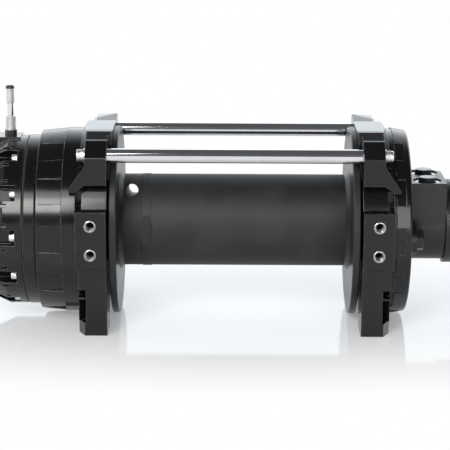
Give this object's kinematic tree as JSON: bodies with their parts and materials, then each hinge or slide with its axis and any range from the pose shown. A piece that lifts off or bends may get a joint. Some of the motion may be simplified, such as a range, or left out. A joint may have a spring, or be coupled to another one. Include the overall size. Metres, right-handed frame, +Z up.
{
  "type": "hydraulic winch",
  "caption": "Hydraulic planetary winch: rope drum between two footed side brackets with tie rods, fluted gearbox with a free-spool plunger at one end, hydraulic motor at the other.",
  "frame": {"origin": "centre of the base bolt pattern, on the plane the feet stand on", "axes": "+X along the drum axis from the gearbox to the motor, -Y the front with the tapped pads, +Z up"},
  "size_m": [0.4774, 0.18, 0.2115],
  "materials": {
    "black_paint": "satin black enamel",
    "cast_black": "rough casting, painted black",
    "drum_paint": "satin dark grey",
    "flange_paint": "satin dark grey",
    "polished_rod": "polished",
    "bright_screw": "bright zinc plated",
    "black_screw": "black oxide",
    "gear_steel": "ground teeth",
    "machined_steel": "machined",
    "bronze": "bronze bush",
    "seal_rubber": "black rubber",
    "gasket": "dark sheet gasket",
    "port_plug": "black transport plug",
    "plunger_grey": "anodised grey",
    "plunger_chrome": "polished",
    "black_plastic": "black cap",
    "spring_steel": "wire"
  },
  "bodies": {
    "frame": {"gear_side_bracket": "black_paint", "motor_side_bracket": "black_paint", "ring_housing": "black_paint", "spacer_ring": "black_paint", "gear_end_cover": "black_paint", "motor_end_cover": "black_paint", "motor_housing": "cast_black", "gerotor_housing": "cast_black", "motor_end_cap": "cast_black", "tie_rod_front": "polished_rod", "tie_rod_rear": "polished_rod", "tie_rod_screws": "bright_screw", "tie_rod_washers": "bright_screw", "cover_bolts": "bright_screw", "motor_flange_bolts": "black_screw", "motor_cover_screws": "black_screw", "motor_case_bolts": "black_screw", "plunger_lock_nut": "black_screw", "ring_gear": "gear_steel", "drum_bush_gear_side": "bronze", "drum_bush_motor_side": "bronze", "motor_bearing": "bronze", "drum_seal_gear_side": "seal_rubber", "drum_seal_motor_side": "seal_rubber", "motor_shaft_seal": "seal_rubber", "cover_gasket": "gasket", "front_port_plug": "port_plug", "rear_port_plug": "port_plug", "plunger_bush": "plunger_grey"},
    "drum": {"drum_tube": "drum_paint", "drum_flange_gear_side": "flange_paint", "drum_flange_motor_side": "flange_paint", "drum_hub_gear_side": "drum_paint", "drum_hub_motor_side": "drum_paint", "output_carrier": "machined_steel", "output_carrier_pins": "machined_steel"},
    "first_carrier": {"carrier_1": "machined_steel", "carrier_1_retainer": "machined_steel", "carrier_1_pins": "machined_steel", "sun_2": "gear_steel"},
    "drive_line": {"drive_shaft": "machined_steel", "sun_1": "gear_steel", "shaft_coupling": "machined_steel", "motor_shaft": "machined_steel", "gerotor_inner": "gear_steel"},
    "outer_rotor": {"gerotor_outer": "gear_steel"},
    "plunger": {"plunger_pin": "plunger_chrome", "plunger_knob": "plunger_chrome", "plunger_cap": "black_plastic", "plunger_spring": "spring_steel"},
    "planet_1_a": {"planet_1_a": "gear_steel"},
    "planet_1_b": {"planet_1_b": "gear_steel"},
    "planet_1_c": {"planet_1_c": "gear_steel"},
    "planet_2_a": {"planet_2_a": "gear_steel"},
    "planet_2_b": {"planet_2_b": "gear_steel"},
    "planet_2_c": {"planet_2_c": "gear_steel"}
  },
  "joints": [
    {"name": "drum_spin", "type": "hinge", "parent": "frame", "child": "drum", "pos_m": [0, 0, 0.0873], "axis": [1, 0, 0], "continuous": true},
    {"name": "first_carrier_spin", "type": "hinge", "parent": "frame", "child": "first_carrier", "pos_m": [0, 0, 0.0873], "axis": [1, 0, 0], "continuous": true},
    {"name": "drive_spin", "type": "hinge", "parent": "frame", "child": "drive_line", "pos_m": [0, 0, 0.0873], "axis": [1, 0, 0], "continuous": true},
    {"name": "outer_rotor_spin", "type": "hinge", "parent": "frame", "child": "outer_rotor", "pos_m": [0, 0, 0.0851], "axis": [1, 0, 0], "continuous": true},
    {"name": "planet_1_a_spin", "type": "hinge", "parent": "first_carrier", "child": "planet_1_a", "pos_m": [0, 0.0345, 0.0873], "axis": [1, 0, 0], "continuous": true},
    {"name": "planet_1_b_spin", "type": "hinge", "parent": "first_carrier", "child": "planet_1_b", "pos_m": [0, -0.01725, 0.11718], "axis": [1, 0, 0], "continuous": true},
    {"name": "planet_1_c_spin", "type": "hinge", "parent": "first_carrier", "child": "planet_1_c", "pos_m": [0, -0.01725, 0.05742], "axis": [1, 0, 0], "continuous": true},
    {"name": "planet_2_a_spin", "type": "hinge", "parent": "drum", "child": "planet_2_a", "pos_m": [0, 0.03795, 0.0873], "axis": [1, 0, 0], "continuous": true},
    {"name": "planet_2_b_spin", "type": "hinge", "parent": "drum", "child": "planet_2_b", "pos_m": [0, -0.01897, 0.12017], "axis": [1, 0, 0], "continuous": true},
    {"name": "planet_2_c_spin", "type": "hinge", "parent": "drum", "child": "planet_2_c", "pos_m": [0, -0.01897, 0.05443], "axis": [1, 0, 0], "continuous": true},
    {"name": "plunger_pull", "type": "slide", "parent": "frame", "child": "plunger", "axis": [0, 0, 1], "range_m": [0, 0.006], "stiffness_N_per_m": 900, "springref_m": -0.006, "deforming": ["plunger_spring"]}
  ],
  "couplings": [
    {"joint": "first_carrier_spin", "follows": "drum_spin", "ratio": 3.6667},
    {"joint": "drive_spin", "follows": "drum_spin", "ratio": 18.333},
    {"joint": "outer_rotor_spin", "follows": "drum_spin", "ratio": 15.714},
    {"joint": "planet_1_a_spin", "follows": "drum_spin", "ratio": -9.7778},
    {"joint": "planet_1_b_spin", "follows": "drum_spin", "ratio": -9.7778},
    {"joint": "planet_1_c_spin", "follows": "drum_spin", "ratio": -9.7778},
    {"joint": "planet_2_a_spin", "follows": "drum_spin", "ratio": -3.2},
    {"joint": "planet_2_b_spin", "follows": "drum_spin", "ratio": -3.2},
    {"joint": "planet_2_c_spin", "follows": "drum_spin", "ratio": -3.2}
  ]
}
